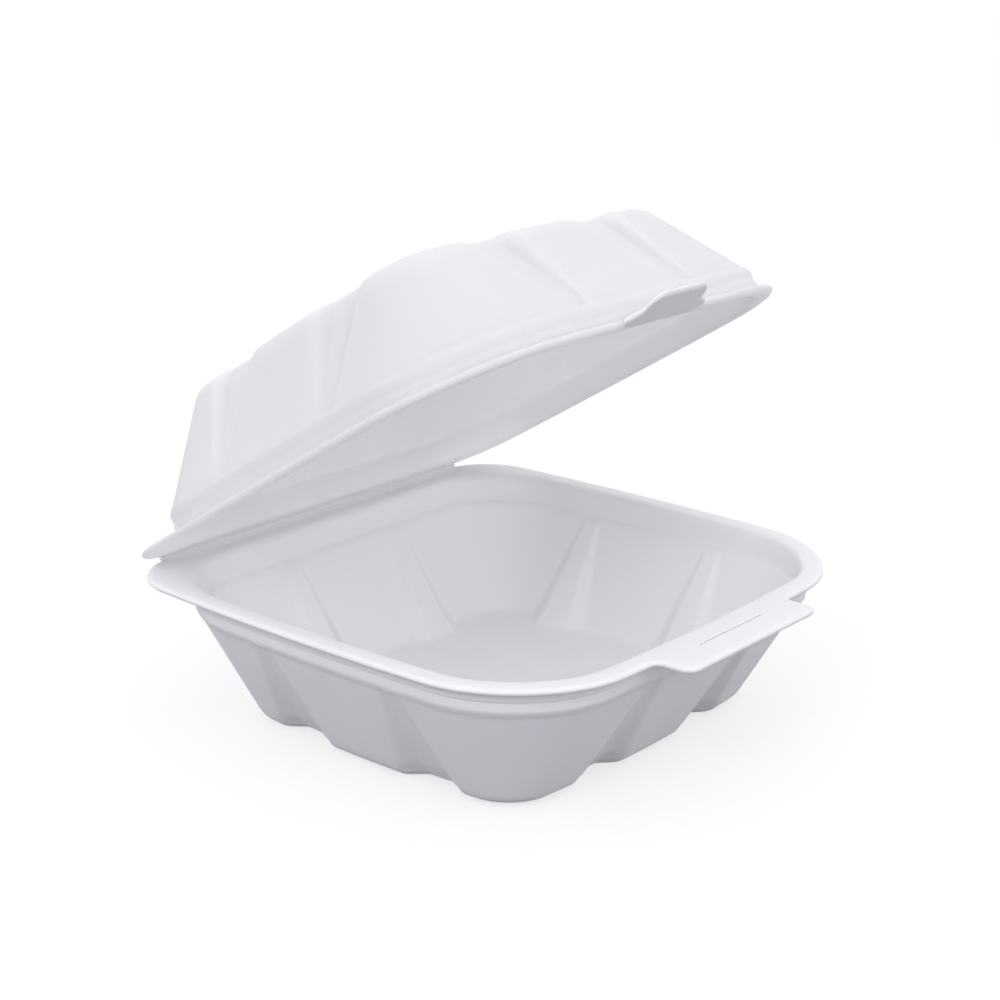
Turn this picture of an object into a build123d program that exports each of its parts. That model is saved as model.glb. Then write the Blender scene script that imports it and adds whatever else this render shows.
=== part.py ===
from build123d import *
from math import cos, hypot, radians, tan
import os

# Foam clamshell food container: one sheet of white foam pressed into a base tray and a lid tray.
# Frame: X along the front side, Y from the front to the hinge, Z up, origin at the middle of the foot.
# Each tray is drawn with its rim face at height zero and its cavity opening upwards.

# overall sizes
rim_width = 147.0
rim_depth = 138.0
rim_corner = 32.0
hinge_corner = 16.0
side_bow = 3.0
base_height = 40.0
lid_height = 36.0
rest_opening = 32.5

# foam sheet
wall = 2.4
lip_thickness = 1.8
lip_ease = 0.5
rim_ease = 0.8
lip_overhang = 3.2
base_flange = 7.0
lid_flange = 5.0
bead_height = 4.6
band_height = 8.0
base_bead = 0.8
lid_bead = 0.3
wall_step = 0.6

# how far the walls lean, and the rounding where they meet the floor
base_lean = 28.0
lid_lean = 34.0
floor_edge = 6.0

# flutes pressed into the walls, deep and wide at the floor, fading out under the rim
flute_pitch = 43.0
flute_valley = 9.0
flute_depth = 4.0
faded_valley = 3.5
faded_depth = 0.5
flank_angle = 36.0
flute_reach = 8.0

# closure
tab_width = 58.0
tab_reach = 9.5
tab_corner = 4.5
tab_root = 3.0
slit_length = 28.0
slit_width = 0.6
slit_inset = 8.0
tongue_root_width = 34.0
tongue_tip_width = 24.0
tongue_reach = 8.5
tongue_root = 2.5
tongue_corner = 5.0
tongue_tilt = 17.0

# fits
gap = 0.3
near = 0.001

half_width = rim_width / 2
half_depth = rim_depth / 2
front_edge = -half_depth - side_bow
hinge_y = half_depth + gap / 2
hinge_z = base_height + gap / 2


def rim_outline(inset, back_inset, back_corner):
    """A square with three bowed sides and a straight hinge side, drawn inside the rim edge."""
    x = half_width - inset
    front = -half_depth + inset
    back = half_depth - back_inset
    middle = (front + back) / 2
    with BuildSketch() as outline:
        with BuildLine():
            ThreePointArc((-x, back), (-x - side_bow, middle), (-x, front))
            ThreePointArc((-x, front), (0, front - side_bow), (x, front))
            ThreePointArc((x, front), (x + side_bow, middle), (x, back))
            Line((x, back), (-x, back))
        make_face()
        fillet(outline.vertices().group_by(Axis.Y)[0], rim_corner - inset)
        fillet(outline.vertices().group_by(Axis.Y)[-1], back_corner)
    return outline.sketch


def pressed_block(top, bottom, top_width, bottom_width):
    """A block with sloping flanks whose inner face runs between two (inward, height) points."""
    run = bottom[0] - top[0]
    rise = top[1] - bottom[1]
    length = hypot(run, rise)
    face = Plane(origin=(0, *top), x_dir=(1, 0, 0), z_dir=(0, -rise, -run))
    with BuildPart() as block:
        with BuildSketch(face):
            with BuildLine():
                Polyline(
                    (-top_width / 2, 0),
                    (-bottom_width / 2, -length),
                    (bottom_width / 2, -length),
                    (top_width / 2, 0),
                    close=True,
                )
            make_face()
        extrude(amount=flute_reach, taper=flank_angle - 90)
    return block.part


def flute(floor_level, lean, edge, inward):
    """Presses one flute, and its eased floor edge, into a wall that hangs from the X axis."""
    slope = tan(radians(lean))
    ease = edge * tan(radians(45 - lean / 2))
    spread = 2 * inward * tan(radians(flank_angle / 2))
    edge_level = floor_level + ease * cos(radians(lean))
    fade = (faded_depth, -band_height)
    turn = (flute_depth - (edge_level + band_height) * slope, edge_level)
    foot = (flute_depth - (floor_level + band_height) * slope + ease, floor_level)
    with BuildPart() as press:
        add(pressed_block(fade, turn, faded_valley + spread, flute_valley + spread))
        add(pressed_block(turn, foot, flute_valley + spread, flute_valley + spread))
    return press.part


def fluted_form(floor_level, bead, flange, lean, edge, inward):
    """The leaning fluted body below the rim band. For the cavity it lies one sheet further in."""
    inset = lip_overhang + bead + wall_step + inward
    back_inset = flange + wall_step + inward
    bow = side_bow * (1 - (flute_pitch / rim_width) ** 2)
    across = half_width - inset + bow
    middle = (inset - back_inset) / 2
    sides = []
    for place in (-flute_pitch / 2, flute_pitch / 2):
        sides.append(Location((place, -half_depth + inset - bow)))
        sides.append(Location((place, half_depth - back_inset), 180))
        sides.append(Location((across, middle + place), 90))
        sides.append(Location((-across, middle + place), -90))
    with BuildPart() as form:
        with BuildSketch(Plane.XY.offset(-band_height)):
            add(rim_outline(inset, back_inset, rim_corner - inset))
        extrude(amount=floor_level + band_height, taper=lean)
        foot_edges = form.edges().group_by(Axis.Z)[0]
        if inward:
            chamfer(foot_edges, edge * tan(radians(45 - lean / 2)))
        else:
            fillet(foot_edges, edge)
        with Locations(sides):
            add(flute(floor_level, lean, edge, inward), mode=Mode.SUBTRACT)
    return form.part


def plate(outline):
    """The thin pressed lip, eased along its whole edge."""
    with BuildPart() as lip:
        extrude(outline, amount=-lip_thickness)
        chamfer(lip.faces().sort_by(Axis.Z)[-1].edges(), lip_ease)
    return lip.part


def step(inset, back_inset, height):
    """One level of the rim under the lip, as a solid block down to its own height."""
    with BuildPart() as block:
        extrude(rim_outline(inset, back_inset, rim_corner - inset), amount=-height)
    return block.part


def tray(lip, depth, bead, flange, lean):
    """One half of the container: lip, beaded rim band, fluted walls and floor."""
    band_inset = lip_overhang + bead
    across_wall = wall / cos(radians(lean))
    with BuildPart() as shell:
        add(lip)
        add(step(lip_overhang, flange - bead, bead_height))
        add(step(band_inset, flange, band_height))
        add(fluted_form(-depth, bead, flange, lean, floor_edge, 0))
        add(step(band_inset + wall, flange + wall, band_height), mode=Mode.SUBTRACT)
        cavity = fluted_form(wall - depth, bead, flange, lean, floor_edge - wall, across_wall)
        add(cavity, mode=Mode.SUBTRACT)
        chamfer(shell.faces().sort_by(Axis.Z)[-1].inner_wires().edges(), rim_ease)
    return shell.part


with BuildSketch() as base_lip:
    add(rim_outline(0, 0, hinge_corner))
    with Locations((0, front_edge)):
        Rectangle(tab_width, 2 * tab_reach)
    reach = tab_width / 2 + near
    tab_points = base_lip.vertices().filter_by_position(Axis.X, -reach, reach)
    fillet(tab_points.group_by(Axis.Y)[-1], tab_root)
    fillet(base_lip.vertices().group_by(Axis.Y)[0], tab_corner)

with BuildPart() as base:
    with Locations((0, 0, base_height)):
        add(tray(plate(base_lip.sketch), base_height, base_bead, base_flange, base_lean))
    with BuildSketch(Plane.XY.offset(base_height)):
        with Locations((0, front_edge - tab_reach + slit_inset)):
            SlotOverall(slit_length, slit_width)
    extrude(amount=-lip_thickness, mode=Mode.SUBTRACT)

# The tongue leaves the lid's front lip and tips towards the dome.
tongue_plane = Plane(Location((0, front_edge + tongue_root, 0), (tongue_tilt, 0, 0)))
with BuildPart() as tongue:
    with BuildSketch(tongue_plane) as blade:
        with BuildLine():
            tip = -tongue_root - tongue_reach
            Polyline(
                (-tongue_root_width / 2, 0),
                (-tongue_tip_width / 2, tip),
                (tongue_tip_width / 2, tip),
                (tongue_root_width / 2, 0),
                close=True,
            )
        make_face()
        fillet(blade.vertices().sort_by(Axis.Y)[:2], tongue_corner)
    extrude(amount=-lip_thickness)
    blade_edges = tongue.faces().filter_by(tongue_plane).edges()
    chamfer(blade_edges.sort_by(Axis.Y)[:-2], lip_ease)

# The lid is drawn like the base, turned over, laid on the rim and swung open about the hinge.
swing = Location((0, hinge_y, hinge_z), (-rest_opening, 0, 0)) * Location((0, -hinge_y, gap / 2))
with BuildPart() as lid:
    with BuildPart(mode=Mode.PRIVATE) as lid_tray:
        add(tray(plate(rim_outline(0, 0, hinge_corner)), lid_height, lid_bead, lid_flange, lid_lean))
        add(tongue.part)
        mirror(about=Plane.XY, mode=Mode.REPLACE)
    with Locations(swing):
        add(lid_tray.part)

os.makedirs("parts", exist_ok=True)
base.part.label = "base"
export_step(base.part, "parts/base.step")
lid.part.label = "lid"
export_step(lid.part, "parts/lid.step")
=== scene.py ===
import math

import bmesh
import bpy
import numpy as np
from mathutils import Matrix, Vector


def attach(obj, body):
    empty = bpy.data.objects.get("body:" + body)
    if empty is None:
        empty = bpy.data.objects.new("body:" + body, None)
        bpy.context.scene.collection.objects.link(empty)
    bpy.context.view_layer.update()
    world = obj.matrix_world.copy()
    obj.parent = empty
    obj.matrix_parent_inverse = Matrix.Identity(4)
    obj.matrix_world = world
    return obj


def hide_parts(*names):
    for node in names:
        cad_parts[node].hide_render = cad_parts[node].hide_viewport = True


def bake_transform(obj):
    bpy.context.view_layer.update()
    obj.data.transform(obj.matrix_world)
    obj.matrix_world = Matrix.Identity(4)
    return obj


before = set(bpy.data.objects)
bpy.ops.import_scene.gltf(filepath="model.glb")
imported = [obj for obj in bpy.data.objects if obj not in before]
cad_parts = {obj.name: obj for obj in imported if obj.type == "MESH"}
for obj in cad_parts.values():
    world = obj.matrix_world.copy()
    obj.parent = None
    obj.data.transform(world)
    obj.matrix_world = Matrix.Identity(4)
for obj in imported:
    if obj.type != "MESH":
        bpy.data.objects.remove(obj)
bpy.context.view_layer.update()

# A white foam clamshell: two pressed trays with stepped rims, joined by a pressed crease.
# Sizes are in millimetres until a mesh is made. Each tray is drawn with its rim face at height
# zero and its cavity upwards. An inset is how far a line lies inside the rim's outer edge.
MM = 0.001
QUARTER_TURN = math.pi / 2

# rim and sheet
HALF_WIDTH = 73.5
HALF_DEPTH = 69.0
RIM_CORNER = 32.0
HINGE_CORNER = 16.0
HINGE_CORNER_EASE = 0.6
SIDE_BOW = 2.98
FRONT_EDGE = -HALF_DEPTH - SIDE_BOW
BASE_HEIGHT = 40.0
SHEET = 2.4
LIP = 1.8
OVERHANG = 3.2
BEAD_FOOT = 4.6
BAND_FOOT = 8.0
WALL_STEP = 0.6
FLOOR_EDGE = 6.0
FLOOR_RINGS = (0.02, 0.25, 0.5, 0.72, 0.88, 0.96)

# where the lid turns, and how far it stands open
HINGE_Y = 69.15
HINGE_Z = 40.15
RIM_GAP = 0.3
REST_OPENING = math.radians(32.5)

# flutes, each pair giving the value at the rim and at the floor
FLUTE_PLACE = 21.5
FLUTE_VALLEY = (3.5, 9.0)
FLUTE_MOUTH = (5.5, 20.0)
FLUTE_DEPTH = (0.4, 4.0)
STRAIGHT_FLANK = 0.45
FLAT_SIDE_FROM = 0.97

# tab and slit
TAB_WIDTH = 58.0
TAB_REACH = 9.5
TAB_CORNER = 3.6
TAB_ROOT = 2.2
SLIT_LENGTH = 28.0
SLIT_WIDTH = 0.4
SLIT_Y = FRONT_EDGE - 1.5

# tongue
TONGUE_REACH = 8.5
TONGUE_ROOT = 3.0
TONGUE_ROOT_HALF = 17.0
TONGUE_TIP_HALF = 12.0
TONGUE_CORNER = 5.0
TONGUE_SLOPE = math.tan(math.radians(17.0))
TONGUE_EASE = 0.9

# web of sheet along the crease
WEB_PAST_STRAIGHT = 3.0
WEB_RADIUS = 1.9
WEB_FLAT_BACK = 0.88
WEB_FILL = 4.2
WEB_HOLLOW = 0.6
WEB_SUNK = math.radians(3.5)

POINTS_PER_SIDE = 120
POINTS_PER_CORNER = 26
SHARP_ANGLE = math.radians(50)


class Tray:
    """What differs between the base and the lid."""

    def __init__(self, depth, bead, flange, lean):
        self.depth = depth
        self.bead = bead
        self.flange = flange
        self.lean = math.radians(lean)


BASE = Tray(depth=40.0, bead=0.8, flange=7.0, lean=28.0)
LID = Tray(depth=35.98, bead=0.3, flange=5.0, lean=34.0)


def soft_step(value):
    value = np.clip(value, 0.0, 1.0)
    return value * value * (3.0 - 2.0 * value)


def between(ends, share):
    return ends[0] + (ends[1] - ends[0]) * share


def flute_sink(place, normals, share):
    """How deep the sheet is pressed in at each point. Share runs from the rim to the floor."""
    if share <= 0:
        return np.zeros(len(place))
    away = np.abs(np.abs(place) - FLUTE_PLACE)
    valley, mouth = between(FLUTE_VALLEY, share) / 2, between(FLUTE_MOUTH, share) / 2
    ramp = np.clip((mouth - away) / (mouth - valley), 0.0, 1.0)
    pressed = between((soft_step(ramp), ramp), STRAIGHT_FLANK)
    facing = np.abs(normals).max(axis=1)
    flat_side = soft_step((facing - FLAT_SIDE_FROM) / (1 - FLAT_SIDE_FROM))
    return pressed * flat_side * between(FLUTE_DEPTH, share)


def outline(inset, back_inset, flute_share, back_corner):
    """Points round the tray at one level, bowed on three sides and sunk where the flutes are."""
    across = HALF_WIDTH - inset
    front = -HALF_DEPTH + inset
    back = HALF_DEPTH - back_inset
    middle = (front + back) / 2
    along = (back - front) / 2
    front_corner = RIM_CORNER - inset
    corners = (front_corner, front_corner, back_corner, back_corner)
    points, normals = [], []
    for side in range(4):
        turn = side * QUARTER_TURN
        outward = np.array((math.sin(turn), -math.cos(turn)))
        sideways = np.array((math.cos(turn), math.sin(turn)))
        reach, half = (along, across) if side % 2 == 0 else (across, along)
        before, after = corners[side], corners[(side + 1) % 4]
        for place in np.linspace(before - half, half - after, POINTS_PER_SIDE, endpoint=False):
            points.append(outward * reach + sideways * place)
            normals.append(outward)
        hub = outward * (reach - after) + sideways * (half - after)
        for angle in np.linspace(0, QUARTER_TURN, POINTS_PER_CORNER, endpoint=False):
            normal = outward * math.cos(angle) + sideways * math.sin(angle)
            points.append(hub + normal * after)
            normals.append(normal)
    points, normals = np.array(points), np.array(normals)
    side_bow = SIDE_BOW * (1 - (points[:, 1] / along) ** 2)
    front_bow = SIDE_BOW * (1 - (points[:, 0] / across) ** 2) * (normals[:, 1] < 0)
    place = np.where(np.abs(normals[:, 0]) > 0.5, points[:, 1], points[:, 0])
    sunk = flute_sink(place, normals, flute_share)
    points[:, 0] += normals[:, 0] * (side_bow - sunk)
    points[:, 1] += normals[:, 1] * (front_bow - sunk) + middle
    return points


def wall_inset(tray, height, inward):
    top = OVERHANG + tray.bead + WALL_STEP
    return top + inward + (-height - BAND_FOOT) * math.tan(tray.lean)


def wall_rows(tray, inward, edge):
    """Lines from the middle of the floor up to the rim band: inset, height, flute share, size."""
    floor = -tray.depth + (SHEET if inward else 0.0)
    tangent = edge * math.tan((QUARTER_TURN - tray.lean) / 2)
    hub_inset = wall_inset(tray, floor, inward) + tangent
    rows = [(hub_inset, floor, 1.0, size) for size in FLOOR_RINGS]
    for angle in np.linspace(0, QUARTER_TURN - tray.lean, 9):
        inset = hub_inset - edge * math.sin(angle)
        height = floor + edge * (1 - math.cos(angle))
        rows.append((inset, height, 1.0, 1.0))
    lowest = rows[-1][1]
    span = tray.depth - BAND_FOOT
    for height in np.linspace(lowest, -BAND_FOOT - 0.9, 22)[1:]:
        share = (-height - BAND_FOOT) / span
        rows.append((wall_inset(tray, height, inward), height, min(share, 1.0), 1.0))
    return rows


def rim_rows(tray):
    """Inset and height of the rim's lines: the cavity side, round the lip, and down outside."""
    band = OVERHANG + tray.bead
    inner = band + SHEET
    slope = SHEET / math.cos(tray.lean) + WALL_STEP - SHEET
    over = [
        (inner + slope - 0.05, -BAND_FOOT - 0.35),
        (inner + slope - 0.35, -BAND_FOOT - 0.02),
        (inner + 0.2, -BAND_FOOT + 0.25),
        (inner, -BAND_FOOT + 0.9),
        (inner - 0.05, -5.0),
        (inner - 0.1, -2.2),
        (inner - 0.22, -1.2),
        (inner - 0.55, -0.5),
        (inner - 1.05, -0.12),
        (inner - 1.8, 0.0),
    ]
    lip = [
        (2.4, 0.0),
        (1.1, -0.02),
        (0.62, -0.1),
        (0.25, -0.34),
        (0.05, -0.68),
        (0.0, -0.95),
        (0.1, -1.3),
        (0.4, -1.62),
        (0.95, -LIP),
    ]
    under = [
        (OVERHANG - 0.7, -LIP - 0.02),
        (OVERHANG - 0.2, -LIP - 0.12),
        (OVERHANG, -LIP - 0.5),
        (OVERHANG, -BEAD_FOOT + 0.6),
        (OVERHANG + 0.12, -BEAD_FOOT + 0.15),
        (OVERHANG + tray.bead * 0.6, -BEAD_FOOT),
        (band + 0.05, -BEAD_FOOT - 0.3),
        (band, -BEAD_FOOT - 0.9),
        (band, -BAND_FOOT + 1.0),
        (band + 0.12, -BAND_FOOT + 0.3),
        (band + WALL_STEP - 0.1, -BAND_FOOT - 0.1),
        (band + WALL_STEP, -BAND_FOOT - 0.5),
    ]
    return over, lip, under


def tab_front(inset):
    """The front edge with its tab: rim line, root curve, side, rounded corner and outer edge."""
    half = TAB_WIDTH / 2 - inset
    outer = FRONT_EDGE - TAB_REACH + inset
    corner = TAB_CORNER - inset
    root = TAB_ROOT + inset
    leave = half + root
    rim_end = HALF_WIDTH - RIM_CORNER

    def rim_line(x):
        return -HALF_DEPTH + inset - SIDE_BOW * (1 - (x / (HALF_WIDTH - inset)) ** 2)

    side = [(x, rim_line(x)) for x in np.linspace(-rim_end, -leave, 30)]
    rim_y = rim_line(leave)
    arc = np.linspace(0, QUARTER_TURN, 9)
    for angle in arc:
        side.append((-leave + root * math.sin(angle), rim_y - root * (1 - math.cos(angle))))
    for angle in arc:
        x = -half + corner * (1 - math.cos(angle))
        side.append((x, outer + corner * (1 - math.sin(angle))))
    path = np.array(side + [(-x, y) for x, y in reversed(side)])
    steps = np.concatenate(([0], np.cumsum(np.hypot(*np.diff(path, axis=0).T))))
    wanted = np.linspace(0, steps[-1], POINTS_PER_SIDE + 1)
    return np.stack([np.interp(wanted, steps, path[:, k]) for k in (0, 1)], axis=1)


def tray_rows(tray, has_tab):
    """All the closed lines of one tray, from the middle of its cavity floor to its underside."""
    inner = wall_rows(tray, SHEET / math.cos(tray.lean), FLOOR_EDGE - SHEET)
    outer = wall_rows(tray, 0.0, FLOOR_EDGE)
    over, lip, under = rim_rows(tray)
    back_shift = tray.flange - OVERHANG - tray.bead
    rows = []

    def lay(inset, height, share=0.0, size=1.0, flanged=0.0, on_lip=False):
        lip_corner = HINGE_CORNER - HINGE_CORNER_EASE * inset
        back_corner = between((RIM_CORNER - inset, lip_corner), flanged)
        line = outline(inset, inset + back_shift * (1 - flanged), share, back_corner)
        centre = np.array((0.0, (line[:, 1].max() + line[:, 1].min()) / 2))
        line = centre + (line - centre) * size
        if on_lip and has_tab:
            line[: POINTS_PER_SIDE + 1] = tab_front(inset)
        rows.append(np.column_stack((line, np.full(len(line), height))))

    for inset, height, share, size in inner:
        lay(inset, height, share, size)
    for inset, height in over:
        lay(inset, height, flanged=0.5 * float(soft_step((over[0][0] - inset) / 3.0)))
    for inset, height in lip:
        lay(inset, height, flanged=1.0, on_lip=True)
    for inset, height in under:
        lay(inset, height, flanged=float(soft_step((OVERHANG - inset) / 0.8)))
    for inset, height, share, size in reversed(outer):
        lay(inset, height, share, size)
    return np.array(rows)


def smooth(mesh):
    mesh.shade_smooth()
    mesh.set_sharp_from_angle(angle=SHARP_ANGLE)


def solid_from_rows(name, rows, place=Matrix.Identity(4)):
    """A closed mesh through lines that each run once round the piece, closed at both ends."""
    count, around = rows.shape[:2]
    middles = [rows[0].mean(axis=0), rows[-1].mean(axis=0)]
    points = np.concatenate((rows.reshape(-1, 3), middles)) * MM
    first_middle = count * around
    last_middle = first_middle + 1
    last_row = first_middle - around
    faces = []
    for row in range(count - 1):
        for k in range(around):
            here, beside = row * around + k, row * around + (k + 1) % around
            faces.append((here, beside, beside + around, here + around))
    for k in range(around):
        faces.append((first_middle, (k + 1) % around, k))
        faces.append((last_middle, last_row + k, last_row + (k + 1) % around))
    mesh = bpy.data.meshes.new(name)
    mesh.from_pydata(points.tolist(), [], faces)
    mesh.transform(place)
    work = bmesh.new()
    work.from_mesh(mesh)
    bmesh.ops.recalc_face_normals(work, faces=work.faces)
    work.to_mesh(mesh)
    work.free()
    smooth(mesh)
    piece = bpy.data.objects.new(name, mesh)
    bpy.context.scene.collection.objects.link(piece)
    return piece


def cut(piece, tool):
    """Cuts the tool's shape out of the piece and throws the tool away."""
    modifier = piece.modifiers.new("cut", "BOOLEAN")
    modifier.object = tool
    modifier.solver = "EXACT"
    graph = bpy.context.evaluated_depsgraph_get()
    mesh = bpy.data.meshes.new_from_object(piece.evaluated_get(graph))
    piece.modifiers.clear()
    smooth(mesh)
    piece.data = mesh
    bpy.data.objects.remove(tool)


def slit_tool():
    """A long thin slot that goes right through the tab."""
    radius = SLIT_WIDTH / 2
    half = SLIT_LENGTH / 2 - radius
    line = []
    for sign in (1, -1):
        for angle in np.linspace(-QUARTER_TURN, QUARTER_TURN, 9):
            x = sign * (half + radius * math.cos(angle))
            line.append((x, SLIT_Y + sign * radius * math.sin(angle)))
    line = np.array(line)
    levels = (BASE_HEIGHT - 3.0, BASE_HEIGHT + 1.0)
    rows = [np.column_stack((line, np.full(len(line), height))) for height in levels]
    return solid_from_rows("slit_tool", np.array(rows))


def tongue_rows():
    """The lid's tongue: a rounded blade that leaves the front lip and tips towards the dome."""
    blade = np.linspace(-TONGUE_ROOT, TONGUE_REACH - 1.0, 16)
    tip = TONGUE_REACH - 1.0 + np.sin(np.linspace(0.2, 1.5, 7))
    rows = []
    for along in np.concatenate((blade, tip)):
        corner_from = TONGUE_REACH - TONGUE_CORNER
        narrowing = soft_step(np.clip(along / corner_from, 0, 1))
        half = between((TONGUE_ROOT_HALF, TONGUE_TIP_HALF), narrowing)
        past = max(along - corner_from, 0.0)
        half -= TONGUE_CORNER - math.sqrt(max(TONGUE_CORNER**2 - past**2, 0.0))
        edge = max(along - (TONGUE_REACH - TONGUE_EASE), 0.0) / TONGUE_EASE
        thick = LIP / 2 * math.sqrt(max(1 - edge**2, 0.002))
        middle = -LIP / 2 - max(along, -0.5) * TONGUE_SLOPE
        ring = []
        for angle in np.linspace(0, 2 * math.pi, 64, endpoint=False):
            wide, high = math.cos(angle), math.sin(angle)
            x = math.copysign(abs(wide) ** 0.25, wide) * (half - thick) + wide * thick
            z = math.copysign(abs(high) ** 0.6, high) * thick
            ring.append((x, FRONT_EDGE - along, middle + z))
        rows.append(ring)
    return np.array(rows)


def crease_rows():
    """The rounded web of sheet that joins the two back lips and fills the corner between them."""
    straight = HALF_WIDTH - HINGE_CORNER
    reach_x = straight + WEB_PAST_STRAIGHT
    bends = np.linspace(-QUARTER_TURN, QUARTER_TURN - REST_OPENING, 21)
    faces = (math.pi - REST_OPENING - WEB_SUNK, math.pi + WEB_SUNK)
    rows = []
    for x in np.linspace(-reach_x, reach_x, 60):
        taper = math.sqrt(max(1 - (abs(x) / (reach_x + 0.1)) ** 16, 0.02))
        past = max(abs(x) - straight, 0.0)
        line_y = HINGE_Y - HINGE_CORNER + math.sqrt(HINGE_CORNER**2 - past**2)
        radius = WEB_RADIUS * taper
        ring = []
        for bend in bends:
            out = min(radius * math.cos(bend), WEB_FLAT_BACK)
            ring.append((x, line_y + out, HINGE_Z + radius * math.sin(bend)))
        for share in np.linspace(0, 1, 13):
            angle = between(faces, share)
            away = WEB_FILL * taper * (1 - WEB_HOLLOW * math.sin(math.pi * share))
            ring.append((x, line_y + away * math.cos(angle), HINGE_Z + away * math.sin(angle)))
        rows.append(ring)
    return np.array(rows)


lift = Matrix.Translation((0, 0, BASE_HEIGHT * MM))
base_tray = solid_from_rows("base_tray", tray_rows(BASE, True), lift)
cut(base_tray, slit_tool())

hinge = Matrix.Translation((0, HINGE_Y * MM, HINGE_Z * MM))
swing = hinge @ Matrix.Rotation(-REST_OPENING, 4, "X") @ hinge.inverted()
flip = Matrix.Scale(-1, 4, (0, 0, 1))
lid_place = swing @ Matrix.Translation((0, 0, (BASE_HEIGHT + RIM_GAP) * MM)) @ flip
lid_tray = solid_from_rows("lid_tray", tray_rows(LID, False), lid_place)
tongue = solid_from_rows("lid_tongue", tongue_rows(), lid_place)
crease = solid_from_rows("hinge_crease", crease_rows())


class Signal:
    """One socket in a finish, so that what the nodes work out is written as plain sums."""

    def __init__(self, bench, socket):
        self.bench = bench
        self.socket = socket

    def worked(self, operation, first, second):
        return self.bench.node("Math", {"operation": operation}, {0: first, 1: second})

    def __add__(self, other):
        return self.worked("ADD", self, other)

    def __radd__(self, other):
        return self.worked("ADD", other, self)

    def __sub__(self, other):
        return self.worked("SUBTRACT", self, other)

    def __rsub__(self, other):
        return self.worked("SUBTRACT", other, self)

    def __mul__(self, other):
        return self.worked("MULTIPLY", self, other)

    def __rmul__(self, other):
        return self.worked("MULTIPLY", other, self)


class Bench:
    """The nodes of one material or of the room, all put in place by one method."""

    def __init__(self, owner):
        owner.use_nodes = True
        self.owner = owner
        self.tree = owner.node_tree
        self.tree.nodes.clear()

    def node(self, kind, settings, sockets, output=0):
        made = self.tree.nodes.new("ShaderNode" + kind)
        for key, value in settings.items():
            setattr(made, key, value)
        for key, value in sockets.items():
            if isinstance(value, Signal):
                self.tree.links.new(value.socket, made.inputs[key])
            else:
                made.inputs[key].default_value = value
        return Signal(self, made.outputs[output]) if made.outputs else None

    def blend(self, share, first, second):
        colours = {0: share, 6: (*first, 1.0), 7: (*second, 1.0)}
        return self.node("Mix", {"data_type": "RGBA"}, colours, 2)


def foam(name, bright, cool, glow):
    """White pressed foam: a satin skin over fine cells, slightly cloudy and softly uneven.

    The glow is how far light wanders inside the sheet, in millimetres.
    """
    bench = Bench(bpy.data.materials.new(name))
    place = bench.node("TexCoord", {}, {}, "Object")

    def noise(**sockets):
        return bench.node("TexNoise", {}, {"Vector": place, **sockets})

    cells = bench.node("TexVoronoi", {}, {"Vector": place, "Scale": 820.0, "Randomness": 1.0})
    grain = noise(Scale=420.0, Detail=3.0)
    cloud = noise(Scale=55.0, Detail=4.0, Roughness=0.6)
    sag = noise(Scale=22.0, Detail=1.0)
    skin = bench.node(
        "Bump", {}, {"Height": cells * 0.5 + grain * 0.5, "Strength": 0.10, "Distance": 0.0004}
    )
    surface = bench.node(
        "Bump", {}, {"Height": sag, "Strength": 0.25, "Distance": 0.002, "Normal": skin}
    )
    shader = bench.node(
        "BsdfPrincipled",
        {},
        {
            "Base Color": bench.blend(cloud * 0.8 + cells * 0.25, bright, cool),
            "Roughness": 0.4 + 0.16 * cloud + 0.08 * grain,
            "Normal": surface,
            "IOR": 1.42,
            "Subsurface Weight": float(glow > 0),
            "Subsurface Radius": (1.0, 1.0, 1.0),
            "Subsurface Scale": glow * MM,
        },
    )
    bench.node("OutputMaterial", {}, {"Surface": shader})
    return bench.owner


base_foam = foam("base_foam", (0.965, 0.955, 0.97), (0.93, 0.92, 0.94), 0.0)
lid_foam = foam("lid_foam", (0.965, 0.96, 0.97), (0.93, 0.925, 0.94), 14.0)
# The tongue gets a darker copy of the lid's foam: painted shade for its shaded underside.
tongue_painted_shade_foam = foam("tongue_painted_shade_foam", (0.90, 0.895, 0.91), (0.86, 0.855, 0.87), 0.0)
for piece, finish, slot_name in (
    (base_tray, base_foam, "base_foam"),
    (lid_tray, lid_foam, "lid_foam"),
    (tongue, tongue_painted_shade_foam, "lid_foam"),
    (crease, base_foam, "base_foam"),
):
    piece.data.materials.clear()
    piece.data.materials.append(finish)

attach(base_tray, "base")
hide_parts("base")
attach(lid_tray, "lid")
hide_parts("lid")
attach(tongue, "lid")
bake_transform(crease)


def table_finish():
    """A table that looks white and keeps the soft shadow, and throws little light back up."""
    bench = Bench(bpy.data.materials.new("pale_floor"))
    seen = bench.node("LightPath", {}, {}, "Is Camera Ray")
    mirrored = bench.node("LightPath", {}, {}, "Is Glossy Ray")
    through = bench.node("LightPath", {}, {}, "Is Transmission Ray")
    looked_at = seen + mirrored + through
    colour = bench.blend(looked_at, (0.26, 0.236, 0.275), (0.9, 0.9, 0.9))
    table_top = bench.node("BsdfDiffuse", {}, {"Color": colour})
    paper = bench.node("Emission", {}, {"Color": (1.0, 1.0, 1.0, 1.0), "Strength": 1.12})
    shader = bench.node("MixShader", {}, {0: looked_at * 0.6, 1: table_top, 2: paper})
    bench.node("OutputMaterial", {}, {"Surface": shader})
    return bench.owner


def lay_table(half_metres):
    corners = [(x * half_metres, y * half_metres, 0) for x, y in ((-1, -1), (1, -1), (1, 1), (-1, 1))]
    mesh = bpy.data.meshes.new("table")
    mesh.from_pydata(corners, [], [(0, 1, 2, 3)])
    mesh.materials.append(table_finish())
    table = bpy.data.objects.new("table", mesh)
    bpy.context.scene.collection.objects.link(table)
    return table


lay_table(20.0)


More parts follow.
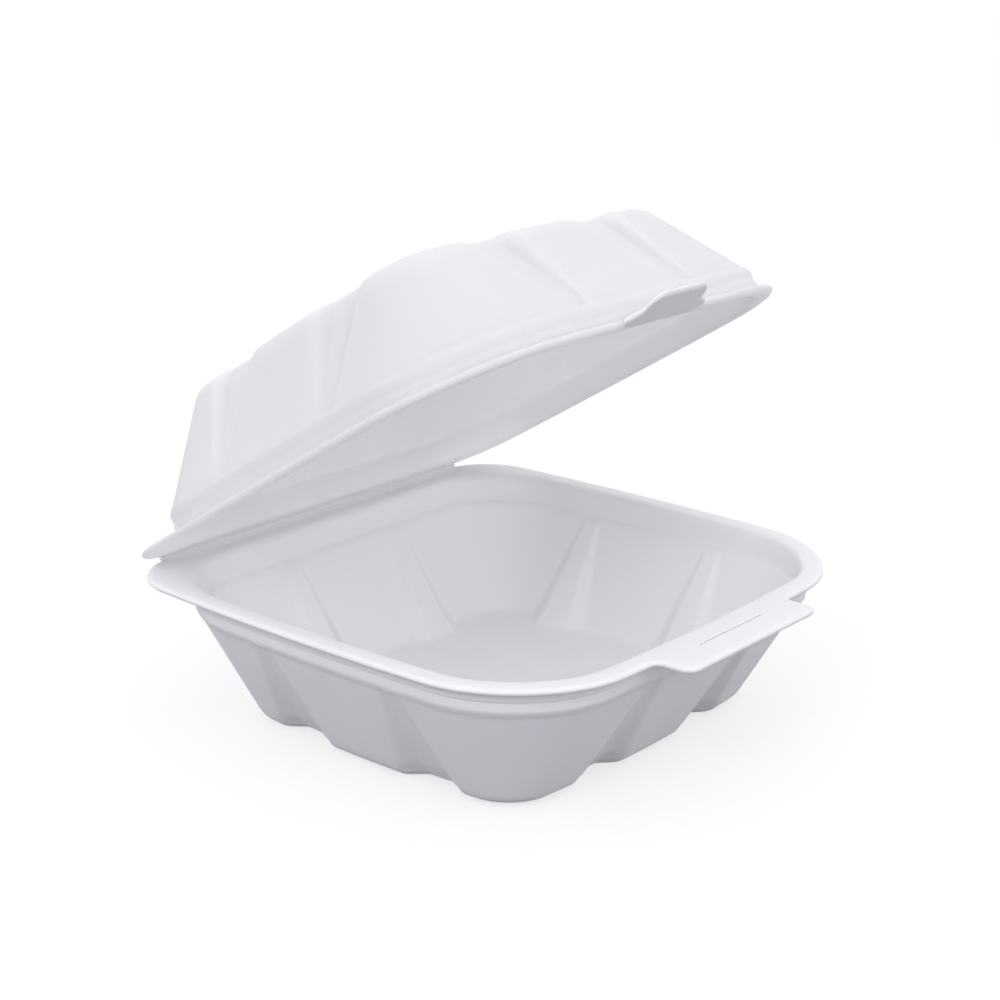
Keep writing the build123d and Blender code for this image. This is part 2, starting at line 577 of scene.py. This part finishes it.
def direction(azimuth, elevation):
    """The way from the container towards a compass direction, in degrees from the front."""
    turn, rise = math.radians(azimuth), math.radians(elevation)
    level = math.cos(rise)
    return Vector((math.sin(turn) * level, -math.cos(turn) * level, math.sin(rise)))


def lamp(name, azimuth, elevation, distance, width, power):
    """A square soft light, in metres and watts, that looks at the container."""
    light = bpy.data.lights.new(name, "AREA")
    light.size = width
    light.energy = power
    stand = bpy.data.objects.new(name, light)
    back = direction(azimuth, elevation)
    stand.location = Vector((0, 0, 0.06)) + back * distance
    stand.rotation_euler = back.to_track_quat("Z", "Y").to_euler()
    bpy.context.scene.collection.objects.link(stand)


lamp("key", azimuth=-78, elevation=33, distance=1.2, width=0.4, power=2.4)
lamp("front", azimuth=0, elevation=25, distance=1.2, width=0.7, power=0.9)


def light_room():
    """An even, slightly cool room that the camera sees as plain white."""
    room = Bench(bpy.data.worlds.new("studio"))
    seen = room.node("LightPath", {}, {}, "Is Camera Ray")
    even = room.node("Background", {}, {"Color": (0.975, 0.965, 1.0, 1.0), "Strength": 0.98})
    white = room.node("Background", {}, {"Color": (1.0, 1.0, 1.0, 1.0), "Strength": 1.0})
    shader = room.node("MixShader", {}, {0: seen, 1: even, 2: white})
    room.node("OutputWorld", {}, {"Surface": shader})
    return room.owner


bpy.context.scene.world = light_room()

CAMERA_AZIMUTH = -51.17
CAMERA_ELEVATION = 17.56
CAMERA_ROLL = math.radians(1.32)
CAMERA_DISTANCE = 551.1
CAMERA_LENS = 73.49
FILM_WIDTH = 36.0
AIM_RIGHT = -0.5
AIM_UP = 16.93


def set_camera():
    """Stands where the photo was taken from, aimed just above the middle of the rim."""
    back = direction(CAMERA_AZIMUTH, CAMERA_ELEVATION)
    turn = math.radians(CAMERA_AZIMUTH)
    level = Vector((math.cos(turn), math.sin(turn), 0))
    right = level * math.cos(CAMERA_ROLL) + back.cross(level) * math.sin(CAMERA_ROLL)
    up = back.cross(right)
    place = Vector((0, 0, BASE_HEIGHT)) + right * AIM_RIGHT + up * AIM_UP + back * CAMERA_DISTANCE
    facing = Matrix((right, up, back)).transposed().to_4x4()
    lens = bpy.data.cameras.new("camera")
    lens.lens = CAMERA_LENS
    lens.sensor_width = FILM_WIDTH
    camera = bpy.data.objects.new("camera", lens)
    camera.matrix_world = Matrix.Translation(place * MM) @ facing
    bpy.context.scene.collection.objects.link(camera)
    bpy.context.scene.camera = camera


set_camera()
bpy.context.scene.view_settings.view_transform = "Standard"
